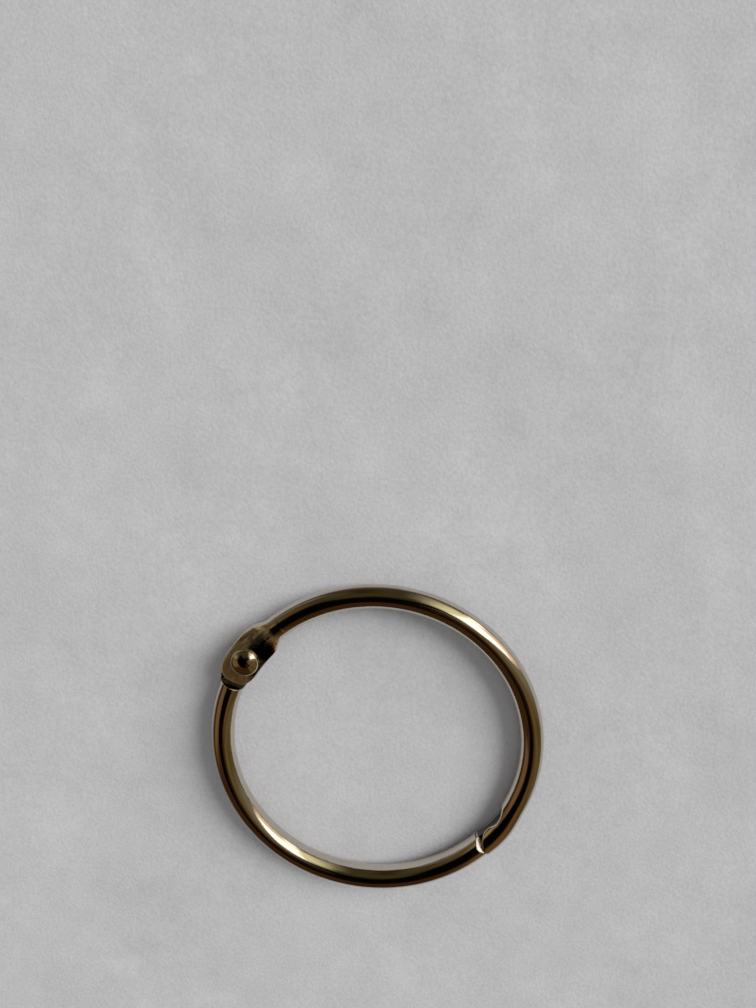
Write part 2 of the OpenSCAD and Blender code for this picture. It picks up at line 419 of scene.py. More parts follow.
def tongue_half_shape(place, s):
    """A half ring whose end is cut slanting above and below to leave a tongue with a bevel."""
    inner_cut_start = 0.4
    nib_before_tip, nib_radius = 1.4, 0.5
    bevel_angle, bevel_inset = math.radians(30), 0.25

    along, across, up = split(place)
    shape = wire_and_leaf(place, s)
    out = along - s["Reach"]

    slant = (magnitude(up) - s["Wire Radius"]) * maths("COSINE", s["Cut Angle"])
    slant = slant + (out + s["Cut Back"]) * maths("SINE", s["Cut Angle"]) - across * s["Cut Lean"]
    thin = magnitude(up) - s["Tongue Half Height"]
    shape = cut(shape, join(slant, thin, fillet=0.1), rounding=0.06)
    inner = s["Tongue Inner Face"] + out * s["Tongue Draw"] - across
    shape = cut(shape, join(out - inner_cut_start, inner, fillet=0.1), rounding=0.12)

    face = from_hinge(along, across, s) - s["Face Radius"]
    shape = cut(shape, join(out, face, fillet=0.08), rounding=0.07)
    nib_at = s["Tongue Length"] - nib_before_tip
    nib = hypot(out - nib_at, face + (nib_radius - s["Nib Height"])) - nib_radius
    nib = cut(nib, thin, rounding=0.05)
    shape = join(shape, nib, fillet=0.05)

    past_tip = out - s["Tongue Length"]
    bevel = (across + bevel_inset) * math.cos(bevel_angle) + past_tip * math.sin(bevel_angle)
    return cut(shape, cut(past_tip, bevel, rounding=0.1), rounding=0.12)


def tongue_half_marks(place, s):
    """Where the half is pressed, stained and machined: the tongue is painted dark as shade, beside
    its bright root.
    """
    tongue_start, cut_start, depth_range = (0.7, 0.9), (-0.5, -0.3), (0.02, 0.08)
    on_tongue, off_tongue = 0.01, 0.09

    along, across, up = split(place)
    pressed, stain = leaf_marks(place, s)
    out = along - s["Reach"]
    edge = s["Tongue Half Height"]
    thin = 1 - ease(magnitude(up), edge + on_tongue, edge + off_tongue)
    tongue = ease(out, *tongue_start) * thin
    depth = s["Wire Radius"] - hypot(across, up)
    machined = ease(out, *cut_start) * ease(depth, *depth_range)
    # The tongue is painted dark as shade, in the same mark as the leaf's stains, and machined rough
    return pressed, most(stain, tongue), most(machined, tongue)


RIVET_SIZES = sizes(
    head_radius=HEAD_RADIUS / MM,
    seat=1.75,
    rim_height=0.42,
    rim_draft=0.12,
    dome_rise=0.68,
    shank_radius=1.25,
    roll_radius=1.55,
    roll_end=-2.5,
    hollow_radius=0.95,
    hollow_depth=2.9,
    unevenness=0.006,
    seed=0.0,
)


def rivet_shape(place, s):
    """A domed head on a shank, whose hollow end is rolled outwards."""
    lobe_count, lobe_turn, lobe_height = 5, 0.7, 0.02
    collar_top = -1.42

    x, y, up = split(place)
    radius = hypot(x, y)
    rim_top = s["Seat"] + s["Rim Height"]
    top_radius = s["Head Radius"] - s["Rim Draft"]
    ball = (top_radius * top_radius + s["Dome Rise"] * s["Dome Rise"]) / (2 * s["Dome Rise"])
    dome = hypot(radius, up - (rim_top + s["Dome Rise"] - ball)) - ball
    draft = most(up - s["Seat"], 0.0) * s["Rim Draft"] / s["Rim Height"]
    side = radius - s["Head Radius"] + draft
    head = cut(cut(side, dome, rounding=0.2), s["Seat"] - up, rounding=0.1)

    bead = (s["Roll Radius"] - s["Hollow Radius"]) / 2
    bead_up = s["Roll End"] + bead
    shank = cut(radius - s["Shank Radius"], bead_up - up, rounding=0.05)
    shank = cut(shank, up - rim_top, rounding=0.05)
    lobes = maths("SINE", maths("ARCTAN2", y, x) * lobe_count + lobe_turn)
    roll = hypot(radius - (s["Roll Radius"] - bead), up - bead_up) - bead - lobes * lobe_height
    collar = cut(radius - s["Roll Radius"], bead_up - up, rounding=0.05)
    collar = cut(collar, up - collar_top, rounding=0.1)
    body = join(join(head, shank, fillet=0.08), join(roll, collar, fillet=0.1), fillet=0.05)
    hollow_top = s["Roll End"] + s["Hollow Depth"]
    hollow = cut(radius - s["Hollow Radius"], up - hollow_top, rounding=0.3)
    return cut(body, -hollow, rounding=0.2)


# The second mark paints real stains on the leaves, and painted shade on the tongue and in the slot
MARKS = ("Pressed", "Stain", "Machined")


def marks_group(name, marks, shape_sizes):
    """A half ring's marks as a node group."""
    group, given, out = new_group(name, "GeometryNodeTree", [("Place", "Vector"), *shape_sizes],
        [(label, "Float") for label in MARKS])
    for socket, value in zip(out.inputs, marks(given["Place"], given)):
        plug(socket, value)
    return group


def shape_group(name, shape, shape_sizes):
    """A shape as a node group, with its surface made slightly uneven, as plated metal is."""
    group, given, out = new_group(name, "GeometryNodeTree", [("Place", "Vector"), *shape_sizes],
        [("Distance", "Float")])
    ripple = (noise(given["Place"], scale=0.22, detail=1.0, seed=given["Seed"]) - 0.5) * 2
    plug(out.inputs[0], shape(given["Place"], given) + ripple * given["Unevenness"])
    return group


def surface_group(name, shape, shape_sizes):
    """At a place near a shape's surface: the nearest place on it, its normal and its curvature."""
    group, given, out = new_group(name, "GeometryNodeTree", [("Place", "Vector"), *shape_sizes],
        [("Nearest", "Vector"), ("Normal", "Vector"), ("Curvature", "Float")])
    step = 0.03
    place = split(given["Place"])

    def distance(axis=None, offset=0.0):
        moved = [p + offset if i == axis else p for i, p in enumerate(place)]
        node = place_group(group, shape, {**given, "Place": vector(*moved)})
        return Field(node.outputs[0])

    here = distance()
    pairs = [(distance(axis, -step), distance(axis, step)) for axis in range(3)]
    slope = [(after - before) / (2 * step) for before, after in pairs]
    steepness = slope[0] * slope[0] + slope[1] * slope[1] + slope[2] * slope[2]
    back = here / steepness
    plug(out.inputs["Nearest"], vector(*[p - n * back for p, n in zip(place, slope)]))
    plug(out.inputs["Normal"], vector(*[n / root(steepness) for n in slope]))
    bend = sum(before + after - 2 * here for before, after in pairs)
    plug(out.inputs["Curvature"], bend / (step * step))
    return group


# ---- From a shape to a mesh ----

# How many times each corner is moved onto the surface, a little nearer each time
CORNER_MOVES = 3


def add(tree, kind, geometry=None, **settings):
    """A geometry node fed with the geometry so far; socket values are given by name."""
    node = tree.nodes.new(kind)
    for name, value in settings.pop("inputs", {}).items():
        plug(node.inputs[name], value)
    for name, value in settings.items():
        setattr(node, name, value)
    if geometry is not None:
        tree.links.new(geometry, node.inputs[0])
    return node


def move(tree, geometry, position):
    """The geometry with every point moved to a position."""
    node = add(tree, "GeometryNodeSetPosition", geometry, inputs={"Position": position})
    return node.outputs[0]


def store(tree, geometry, name, data_type, value):
    """The geometry with a value kept on its points under a name."""
    node = add(tree, "GeometryNodeStoreNamedAttribute", geometry, data_type=data_type,
        domain="POINT", inputs={"Name": name, "Value": value})
    return node.outputs[0]


def recall(tree, name):
    """A vector that was kept on the points under a name."""
    node = add(tree, "GeometryNodeInputNamedAttribute", data_type="FLOAT_VECTOR",
        inputs={"Name": name})
    return node.outputs[0]


def skin(tree, shape, surface, given, low, high, grain, to_shape):
    """The skin of a shape as a mesh: a grid of samples, then each corner moved onto the surface."""
    position = tree.nodes.new("GeometryNodeInputPosition").outputs[0]
    sample = place_group(tree, shape, {**given, "Place": to_shape(position)})
    counts = [max(2, round((h - l) / grain)) + 1 for l, h in zip(low, high)]
    cube = add(tree, "GeometryNodeVolumeCube", inputs={
        "Density": 1 - Field(sample.outputs[0]), "Background": 0.0, "Min": low, "Max": high,
        "Resolution X": counts[0], "Resolution Y": counts[1], "Resolution Z": counts[2]})
    mesh = add(tree, "GeometryNodeVolumeToMesh", cube.outputs[0], resolution_mode="GRID",
        inputs={"Threshold": 1.0}).outputs[0]
    mesh = move(tree, mesh, to_shape(position))
    for _ in range(CORNER_MOVES):
        near = place_group(tree, surface, {**given, "Place": position})
        mesh = move(tree, mesh, near.outputs["Nearest"])
    near = place_group(tree, surface, {**given, "Place": position})
    mesh = store(tree, mesh, "laid", "FLOAT_VECTOR", position)
    mesh = store(tree, mesh, "bend", "FLOAT", near.outputs["Curvature"])
    return store(tree, mesh, "outward", "FLOAT_VECTOR", near.outputs["Normal"])


def sampled_along(end, fine_end, grain):
    """The length of the grid, and a function from it to the wire's true length.

    Samples lie close together at the leaf and at the catch, and far apart along the wire.
    """
    nose, leaf_end, past_end = -4.3, 9.0, 0.35
    leaf_spacing, wire_spacing, catch_spacing = 0.1, 0.7, 0.07
    zones = [
        (nose, leaf_end, leaf_spacing),
        (leaf_end, end - fine_end, wire_spacing),
        (end - fine_end, end + past_end, catch_spacing),
    ]
    stops = [0.0]
    for start, stop, spacing in zones:
        stops.append(stops[-1] + (stop - start) * grain / spacing)

    def unsqueeze(position):
        x, y, z = split(position)
        along = nose
        for (_, _, spacing), zone_start, zone_end in zip(zones, stops, stops[1:]):
            inside = least(most(x - zone_start, 0.0), zone_end - zone_start)
            along = inside * (spacing / grain) + along
        return vector(along, y, z)

    return stops[-1], unsqueeze


def ring_tree(name, shape_function, marks_function, shape_sizes, end, fine_end, turn_sign,
        side_sign):
    """Geometry Nodes for a half ring: skins its straight shape, then bends it round the ring."""
    inputs = [*shape_sizes, ("Hinge Angle", "Float", HINGE_ANGLE), ("Plating", "Material")]
    tree, given, out = new_group(name, "GeometryNodeTree", inputs, [("Geometry", "Geometry")])
    shape = shape_group(name + " shape", shape_function, shape_sizes)
    surface = surface_group(name + " surface", shape, shape_sizes)

    grain, half_breadth, half_height = 0.07, 3.2, 2.05
    grid_length, unsqueeze = sampled_along(end, fine_end, grain)
    low = (0.0, -half_breadth, -half_height)
    high = (grid_length, half_breadth, half_height)
    mesh = skin(tree, shape, surface, given, low, high, grain, unsqueeze)
    laid = recall(tree, "laid")
    marks = place_group(tree, marks_group(name + " marks", marks_function, shape_sizes),
        {**given, "Place": laid})
    for label in MARKS:
        mesh = store(tree, mesh, label.lower(), "FLOAT", marks.outputs[label])

    along, across, up = split(laid)
    turned = given["Hinge Angle"] + along / given["Ring Radius"] * turn_sign
    cosine, sine = maths("COSINE", turned), maths("SINE", turned)
    radius = (given["Ring Radius"] + across) * MM
    mesh = move(tree, mesh, vector(radius * cosine, radius * sine, up * (side_sign * MM)))
    ahead, outward, upward = split(recall(tree, "outward"))
    ahead = ahead / (across / given["Ring Radius"] + 1) * turn_sign
    normal = vector(outward * cosine - ahead * sine, outward * sine + ahead * cosine,
        upward * side_sign)
    mesh = store(tree, mesh, "outward", "FLOAT_VECTOR", normal)
    finish_tree(tree, mesh, given, out)
    return tree


def rivet_tree(name):
    """Geometry Nodes for the rivet: skins its shape, and sets it on its axis."""
    inputs = [*RIVET_SIZES, ("Axis X", "Float", 0.0), ("Axis Y", "Float", 0.0),
        ("Plating", "Material")]
    tree, given, out = new_group(name, "GeometryNodeTree", inputs, [("Geometry", "Geometry")])
    shape = shape_group(name + " shape", rivet_shape, RIVET_SIZES)
    surface = surface_group(name + " surface", shape, RIVET_SIZES)
    grain, half_breadth, bottom, top = 0.05, 2.4, -2.8, 3.1
    low, high = (-half_breadth, -half_breadth, bottom), (half_breadth, half_breadth, top)
    mesh = skin(tree, shape, surface, given, low, high, grain, lambda position: position)
    x, y, z = split(recall(tree, "laid"))
    mesh = move(tree, mesh, vector(x * MM + given["Axis X"], y * MM + given["Axis Y"], z * MM))
    finish_tree(tree, mesh, given, out)
    return tree


def finish_tree(tree, geometry, given, out):
    """Ends a tree: smooth, with its instances realized and its material set."""
    smooth = add(tree, "GeometryNodeSetShadeSmooth", geometry)
    plain = add(tree, "GeometryNodeRealizeInstances", smooth.outputs[0])
    plated = add(tree, "GeometryNodeSetMaterial", plain.outputs[0],
        inputs={"Material": given["Plating"]})
    tree.links.new(plated.outputs[0], out.inputs[0])


def run_tree(tree, name, values, material):
    """The mesh that a tree makes of nothing, with values given by its inputs' names."""
    maker = bpy.data.objects.new(name + "_maker", bpy.data.meshes.new(name + "_maker"))
    bpy.context.scene.collection.objects.link(maker)
    modifier = maker.modifiers.new("Maker", "NODES")
    modifier.node_group = tree
    for item in tree.interface.items_tree:
        if item.in_out == "INPUT":
            value = material if item.name == "Plating" else values.get(item.name)
            if value is not None:
                modifier[item.identifier] = value
    bpy.context.view_layer.update()
    depsgraph = bpy.context.evaluated_depsgraph_get()
    mesh = bpy.data.meshes.new_from_object(maker.evaluated_get(depsgraph), depsgraph=depsgraph)
    if not mesh.polygons:
        raise RuntimeError(f"the tree for {name} made no faces")
    maker.modifiers.remove(modifier)
    bpy.data.objects.remove(maker)
    mesh.name = name
    return mesh


def piece_from(tree, name, values, material, body, node):
    """Keeps what a tree makes as a piece that rides on a body in place of a node."""
    mesh = run_tree(tree, name, values, material)
    normals = [0.0] * (3 * len(mesh.vertices))
    mesh.attributes["outward"].data.foreach_get("vector", normals)
    mesh.normals_split_custom_set_from_vertices(
        [normals[i:i + 3] for i in range(0, len(normals), 3)])
    mesh.attributes.remove(mesh.attributes["outward"])
    piece = bpy.data.objects.new(name, mesh)
    bpy.context.scene.collection.objects.link(piece)
    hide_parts(node)
    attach(piece, body)


# ---- Plating ----


def attribute(tree, name):
    """The node that reads a value kept on the mesh under a name."""
    node = tree.nodes.new("ShaderNodeAttribute")
    node.attribute_name = name
    return node


def wear_group():
    """Where metal is rubbed bright on edges, and where dirt stays in corners."""
    group, given, out = new_group("Edge wear", "ShaderNodeTree",
        [("Bend", "Float", 0.0), ("Place", "Vector")],
        [("Rubbed", "Float"), ("Dirt", "Float")])
    patch_edge, edge_bend, corner_bend = (0.3, 0.65), (1.2, 4.5), (0.8, 4.0)
    patchy = ease(noise(given["Place"], scale=1.3, detail=3.0), *patch_edge)
    plug(out.inputs["Rubbed"], ease(given["Bend"], *edge_bend) * patchy)
    plug(out.inputs["Dirt"], ease(-given["Bend"], *corner_bend))
    return group


def scratch_group():
    """Fine lines that follow the wire and a few that cross it, as a height, and a patchy haze."""
    group, given, out = new_group("Fine scratches", "ShaderNodeTree",
        [("Place", "Vector"), ("Length", "Float", 8.0), ("Fineness", "Float", 9.0),
            ("Crossing", "Float", 0.3)],
        [("Height", "Float"), ("Haze", "Float")])
    crossing_peaks, haze_edge = (0.68, 0.74), (0.35, 0.7)
    x, y, z = split(given["Place"])
    drawn = noise(vector(x / given["Length"], y, z), scale=given["Fineness"], detail=2.0)
    # The crossing ones run aslant of the wire, stretched along themselves
    slanted = vector((x + y * 1.7) / 2, (y - x * 0.35 + z) * 5, z * 2)
    crossing = ease(noise(slanted, scale=1.1, detail=1.0, seed=4.0), *crossing_peaks)
    plug(out.inputs["Height"], drawn - crossing * given["Crossing"])
    clouds = noise(given["Place"], scale=0.35, detail=4.0, seed=2.0)
    plug(out.inputs["Haze"], ease(clouds, *haze_edge))
    return group


GROUPS = {}


def shared(maker):
    """The node group that a function makes, made once."""
    if maker.__name__ not in GROUPS:
        GROUPS[maker.__name__] = maker()
    return GROUPS[maker.__name__]


def colour_mix(tree, share, a, b):
    """One colour laid over another, each a socket or a plain value."""
    node = tree.nodes.new("ShaderNodeMix")
    node.data_type = "RGBA"
    plug(node.inputs["Factor"], share)
    colours = [socket for socket in node.inputs if socket.type == "RGBA"]
    for socket, value in zip(colours, (a, b)):
        plug(socket, value if isinstance(value, bpy.types.NodeSocket) else (*value, 1.0))
    return next(socket for socket in node.outputs if socket.type == "RGBA")


def new_material(name):
    """A material, its tree and its shader."""
    material = bpy.data.materials.new(name)
    material.use_nodes = True
    return material, material.node_tree, material.node_tree.nodes["Principled BSDF"]


def bump(tree, shader, height, distance):
    """Shapes the shader's normal by a height from 0 to 1, which stands for a distance."""
    node = tree.nodes.new("ShaderNodeBump")
    node.inputs["Distance"].default_value = distance
    plug(node.inputs["Height"], height)
    plug(shader.inputs["Normal"], node.outputs[0])


def plating(name, look, length, fineness, crossing):
    """Nickel plate over steel: near a mirror, softened by drawing lines, handling and edge wear."""
    material, tree, shader = new_material(name)
    shader.inputs["Metallic"].default_value = 1.0
    place = attribute(tree, "laid").outputs["Vector"]
    bend, pressed, stain, machined = [Field(attribute(tree, label).outputs["Fac"])
        for label in ("bend", "pressed", "stain", "machined")]
    wear = place_group(tree, shared(wear_group), {"Bend": bend, "Place": place})
    rubbed, dirt = Field(wear.outputs["Rubbed"]), Field(wear.outputs["Dirt"])
    lines = place_group(tree, shared(scratch_group),
        {"Place": place, "Length": length, "Fineness": fineness, "Crossing": crossing})
    haze, scratches = Field(lines.outputs["Haze"]), Field(lines.outputs["Height"])
    grain = noise(place, scale=5.0, detail=3.0, seed=7.0)
    x, y, z = split(place)
    streaks = noise(vector(x / 4, y * 1.4, z), scale=2.6, detail=3.0, seed=5.0)
    worked = noise(vector(x + z * 1.5, y * 0.3, z - x), scale=3.4, detail=3.0, seed=6.0)

    colour = look.plate_colour
    for share, over in (
        (haze * 0.45, look.tarnish_colour),
        # Painted reflection: the pressed leaves get a lighter gold, so that they mirror the room
        # brighter
        (pressed * 0.8, look.pressed_reflection_colour),
        (rubbed * 0.8, look.bare_colour),
        (dirt * 0.75, look.dirt_and_shade_colour),
        # Painted shade: this mark darkens the tongue and the slot's inside, besides the leaves'
        # real stains
        (stain * 0.85, look.dirt_and_shade_colour),
    ):
        colour = colour_mix(tree, share, colour, over)
    plug(shader.inputs["Base Color"], colour)

    roughness = haze * 0.03 + dirt * 0.3 + (grain - 0.5) * 0.02 + look.polish
    streaky = ease(streaks, 0.36, 0.64) * 0.28 + 0.28
    roughness = roughness + pressed * streaky * (1 - stain) + machined * 0.2 + rubbed * 0.24
    plug(shader.inputs["Roughness"], roughness)

    orange_peel = noise(place, scale=2.6, detail=1.0, seed=3.0)
    drawn = noise(vector(x / 14, y, z), scale=2.2, detail=2.0, seed=8.0)
    height = scratches * 0.35 + orange_peel * 0.7 + drawn * 3.0
    height = height + pressed * (grain * 0.8 + streaks * 6.0) + machined * worked * 9.0
    bump(tree, shader, height, distance=0.000004)
    return material


# ---- Stage ----


def paper(look):
    """Pale paper with fine fibres, faint clouds and soft folds."""
    material, tree, shader = new_material("Pale paper")
    shader.inputs["Roughness"].default_value = 0.9
    shader.inputs["Specular IOR Level"].default_value = 0.15
    place = tree.nodes.new("ShaderNodeTexCoord").outputs["Object"]
    fibres = noise(place, scale=2000.0, detail=4.0, roughness=0.6)
    clouds = noise(place, scale=260.0, detail=4.0, roughness=0.65, seed=2.0)
    folds = noise(place, scale=45.0, detail=2.0, seed=9.0)
    tone = fibres * 0.55 + clouds * 0.3 + folds * 0.15
    darkest, lightest = [[c * share for c in look.floor_colour] for share in (0.64, 1.36)]
    colour = colour_mix(tree, tone, darkest, lightest)

    # The plating mirrors the sheet painted dark: behind the ring and faintly all round for a
    # cluttered desktop round it, and on the side away from the window as painted shade
    x, y, _ = split(place)
    behind = ease(y, 0.027, 0.040)
    beside = ease(-x - y * 0.6, 0.027, 0.050) * 0.7
    around = ease(hypot(x, y), 0.028, 0.06) * 0.25
    glossy = Field(tree.nodes.new("ShaderNodeLightPath").outputs["Is Glossy Ray"])
    desk_and_shade = glossy * most(most(behind, beside), around)
    plug(shader.inputs["Base Color"], colour_mix(tree, desk_and_shade, colour, look.desk_and_shade_colour))

    crumple = noise(place, scale=28.0, detail=2.0, seed=1.0)
    bump(tree, shader, fibres * 0.5 + crumple * 14, distance=0.00012)
    return material


def floor_object(look):
    """A sheet that the rivet's end and the far side of the ring both rest on."""
    half, clearance = 0.8, 0.00002
    tail = Vector((RIVET_MIDDLE.x, RIVET_MIDDLE.y, RIVET_LOW.z))
    away = Vector((-RIVET_MIDDLE.x, -RIVET_MIDDLE.y, 0.0)).normalized()
    touch = away * RING_RADIUS - Vector((0, 0, WIRE_RADIUS))
    slope = (touch.z - tail.z) / (away.dot(touch) - away.dot(tail))
    corners = [Vector((x * half, y * half, 0)) for x, y in ((-1, -1), (1, -1), (1, 1), (-1, 1))]
    for corner in corners:
        corner.z = tail.z + slope * (away.dot(corner) - away.dot(tail)) - clearance
    mesh = bpy.data.meshes.new("Floor")
    mesh.from_pydata(corners, [], [(0, 1, 2, 3)])
    floor = bpy.data.objects.new("Floor", mesh)
    bpy.context.scene.collection.objects.link(floor)
    mesh.materials.append(paper(look))


class Room:
    """Directions round the ring, and soft patches of colour laid over one another in them."""

    def __init__(self, tree, colour):
        self.tree = tree
        self.colour = colour
        direction = tree.nodes.new("ShaderNodeTexCoord").outputs["Generated"]
        x, y, z = split(direction)
        self.azimuth = maths("ARCTAN2", y, x) * (180 / math.pi)
        self.elevation = maths("ARCSINE", z) * (180 / math.pi)

    def lay(self, colour, at, extent, soft):
        """A patch at an azimuth and elevation, with its extent and its soft edge along each."""
        offsets = (maths("WRAP", self.azimuth - at[0], 180.0, -180.0), self.elevation - at[1])
        across, up = [1 - ease(magnitude(offset), (full - edge) / 2, (full + edge) / 2)
            for offset, full, edge in zip(offsets, extent, soft)]
        self.colour = colour_mix(self.tree, across * up, self.colour, colour)


def surroundings(look):
    """A dim warm room with one window, which the plating mirrors, and a pale backdrop."""
    world = bpy.data.worlds.new("Room")
    bpy.context.scene.world = world
    world.use_nodes = True
    tree = world.node_tree

    # Azimuths are in degrees from +X, anticlockwise seen from above, and elevations from level.
    # The ceiling is all but black, with one brown patch.
    ceiling, ceiling_stain = (0.0014, 0.0008, 0.0004), (0.050, 0.019, 0.006)
    room = Room(tree, ceiling)
    room.lay(ceiling_stain, at=(284, 66), extent=(22, 12), soft=(16, 10))

    # The far wall, olive in the window's light, with a dark post, and furniture at its end
    far_wall, far_post = (0.056, 0.044, 0.018), (0.040, 0.022, 0.008)
    far_strip = (0.070, 0.056, 0.022)
    room.lay(far_wall, at=(92, 22), extent=(74, 104), soft=(24, 24))
    room.lay(far_post, at=(100, 24), extent=(14, 40), soft=(12, 12))
    room.lay(far_strip, at=(115, 22), extent=(12, 36), soft=(12, 12))
    furniture, gilt_frame = (0.120, 0.074, 0.034), (0.36, 0.27, 0.11)
    room.lay(furniture, at=(146, 22), extent=(34, 54), soft=(24, 24))
    room.lay(gilt_frame, at=(168, 33), extent=(22, 26), soft=(16, 16))

    # The wall away from the window, brown and dim, with a lit panel and its dark foot
    dim_wall, lit_panel = (0.060, 0.027, 0.010), (0.200, 0.112, 0.050)
    panel_foot, dark_corner = (0.060, 0.026, 0.008), (0.048, 0.021, 0.0055)
    room.lay(dim_wall, at=(222, 39), extent=(50, 20), soft=(20, 8))
    room.lay(lit_panel, at=(203, 31), extent=(42, 32), soft=(20, 10))
    room.lay(panel_foot, at=(205, 8), extent=(50, 18), soft=(18, 18))
    room.lay(dark_corner, at=(234, 11), extent=(28, 62), soft=(14, 10))
    room.lay(dark_corner, at=(266, 16), extent=(40, 70), soft=(14, 10))

    # The near wall, lit more and more towards the window
    door, near_wall = (0.150, 0.080, 0.024), (0.145, 0.098, 0.036)
    near_shade = (0.100, 0.074, 0.016)
    room.lay(door, at=(294, 26), extent=(20, 60), soft=(12, 12))
    room.lay(near_wall, at=(330, 38), extent=(48, 80), soft=(18, 18))
    room.lay(near_shade, at=(333, 26), extent=(14, 26), soft=(14, 14))
    reveal, window_wall = (0.220, 0.180, 0.115), (0.36, 0.32, 0.20)
    room.lay(reveal, at=(2, 34), extent=(26, 88), soft=(18, 18))
    room.lay(window_wall, at=(52, 16), extent=(34, 70), soft=(20, 20))

    # The window, with its yellow curtain, its peach blind, a bright gap and the open pane
    curtain, blind = (1.00, 0.92, 0.55), (1.02, 0.76, 0.47)
    gap, pane = (1.7, 1.55, 1.25), (2.0, 1.95, 1.85)
    room.lay(curtain, at=(45, 38), extent=(26, 48), soft=(20, 20))
    room.lay(blind, at=(24, 4), extent=(32, 56), soft=(8, 30))
    room.lay(gap, at=(38, 12), extent=(10, 60), soft=(6, 20))
    room.lay(pane, at=(25, 44), extent=(30, 40), soft=(8, 14))
    far_desk = (0.20, 0.19, 0.15)
    room.lay(far_desk, at=(140, -4), extent=(40, 30), soft=(14, 14))

    # Below the horizon lies the desk
    horizon_colour, horizon_share = (0.16, 0.125, 0.085), 0.6
    below = 1 - ease(room.elevation, -10.0, 4.0)
    mirrored = colour_mix(tree, below * horizon_share, room.colour, horizon_colour)

    light_path = tree.nodes.new("ShaderNodeLightPath").outputs
    glossy, camera = Field(light_path["Is Glossy Ray"]), Field(light_path["Is Camera Ray"])
    ambient = colour_mix(tree, glossy, look.ambient_colour, mirrored)
    seen = colour_mix(tree, camera, ambient, look.floor_colour)
    plug(tree.nodes["Background"].inputs["Color"], seen)


def window_lamp(look):
    """The window's light on matt surfaces, as a sun that is as wide as the window."""
    azimuth, elevation, width = [math.radians(angle) for angle in (28, 30, 38)]
    light = bpy.data.lights.new("Window", "SUN")
    light.energy = look.window_strength
    light.angle = width
    light.color = (1.0, 0.985, 0.97)
    lamp = bpy.data.objects.new("Window", light)
    bpy.context.scene.collection.objects.link(lamp)
    flat = math.cos(elevation)
    aim = Vector((math.cos(azimuth) * flat, math.sin(azimuth) * flat, math.sin(elevation)))
    lamp.rotation_euler = aim.to_track_quat("Z", "Y").to_euler()
    lamp.visible_glossy = False


def camera_object(view):
    """Looks down and back at the ring, close enough for a strong perspective."""
    scene = bpy.context.scene
    data = bpy.data.cameras.new("Camera")
    data.lens = view.lens
    data.clip_start = 0.005
    data.clip_end = 20.0
    camera = bpy.data.objects.new("Camera", data)
    scene.collection.objects.link(camera)
    forward = Vector(view.direction).normalized()
    right = forward.cross(Vector((0, 1, 0))).normalized()
    up = right.cross(forward)
    rolled = Matrix.Rotation(view.roll, 3, forward)
    axes = Matrix((rolled @ right, rolled @ up, -forward)).transposed()
    camera.matrix_world = Matrix.Translation(Vector(view.position)) @ axes.to_4x4()
    scene.camera = camera


# ---- Add-on ----


class BinderRingSizes(bpy.types.PropertyGroup):
    """Sizes of the ring that a user would change."""

    leaf_width: bpy.props.FloatProperty(
        name="Leaf Width", description="Width of the pressed hinge leaves",
        default=0.0057, unit="LENGTH", precision=4)
    leaf_height: bpy.props.FloatProperty(
        name="Leaf Height", description="Height of a leaf's face above the wire's mid plane",
        default=0.0017, unit="LENGTH", precision=4)
    nose_length: bpy.props.FloatProperty(
        name="Nose Length", description="From the rivet's axis to a leaf's nose",
        default=0.004, unit="LENGTH", precision=4)
    unevenness: bpy.props.FloatProperty(
        name="Unevenness", description="How far the drawn wire's surface strays from true",
        default=0.000018, unit="LENGTH", precision=6)


class BinderRingLook(bpy.types.PropertyGroup):
    """Colours of the plating and the stage."""

    plate_colour: bpy.props.FloatVectorProperty(
        name="Plate", description="Clean nickel plate", subtype="COLOR", size=3,
        default=(0.64, 0.595, 0.52))
    tarnish_colour: bpy.props.FloatVectorProperty(
        name="Tarnish", description="Plate that has yellowed with handling", subtype="COLOR",
        size=3, default=(0.56, 0.49, 0.385))
    bare_colour: bpy.props.FloatVectorProperty(
        name="Bare Edge", description="Plate rubbed bright on edges", subtype="COLOR", size=3,
        default=(0.96, 0.94, 0.86))
    # Painted reflection: a lighter gold on the pressed leaves that brightens what they mirror
    pressed_reflection_colour: bpy.props.FloatVectorProperty(
        name="Pressed Face", description="Yellowed plate on the pressed leaves", subtype="COLOR",
        size=3, default=(0.98, 0.84, 0.54))
    # Besides dirt in corners, this colour paints shade on the tongue and in the slot's inside
    dirt_and_shade_colour: bpy.props.FloatVectorProperty(
        name="Dirt", description="Dirt that stays in corners", subtype="COLOR", size=3,
        default=(0.06, 0.045, 0.03))
    polish: bpy.props.FloatProperty(
        name="Polish", description="Roughness of the clean plate", subtype="FACTOR",
        default=0.045, min=0.0, max=1.0)
    floor_colour: bpy.props.FloatVectorProperty(
        name="Floor", description="The paper that the ring lies on", subtype="COLOR", size=3,
        default=(0.50, 0.505, 0.525))
    # Painted shade and desktop clutter on the sheet, seen only in the plating's reflections
    desk_and_shade_colour: bpy.props.FloatVectorProperty(
        name="Desk", description="What lies beyond the paper, as the plating mirrors it",
        subtype="COLOR", size=3, default=(0.07, 0.048, 0.030))
    ambient_colour: bpy.props.FloatVectorProperty(
        name="Room Light", description="Light from the room on matt surfaces", subtype="COLOR",
        size=3, default=(0.38, 0.37, 0.36))
    window_strength: bpy.props.FloatProperty(
        name="Window", description="Strength of the window's light", default=3.8, min=0.0)


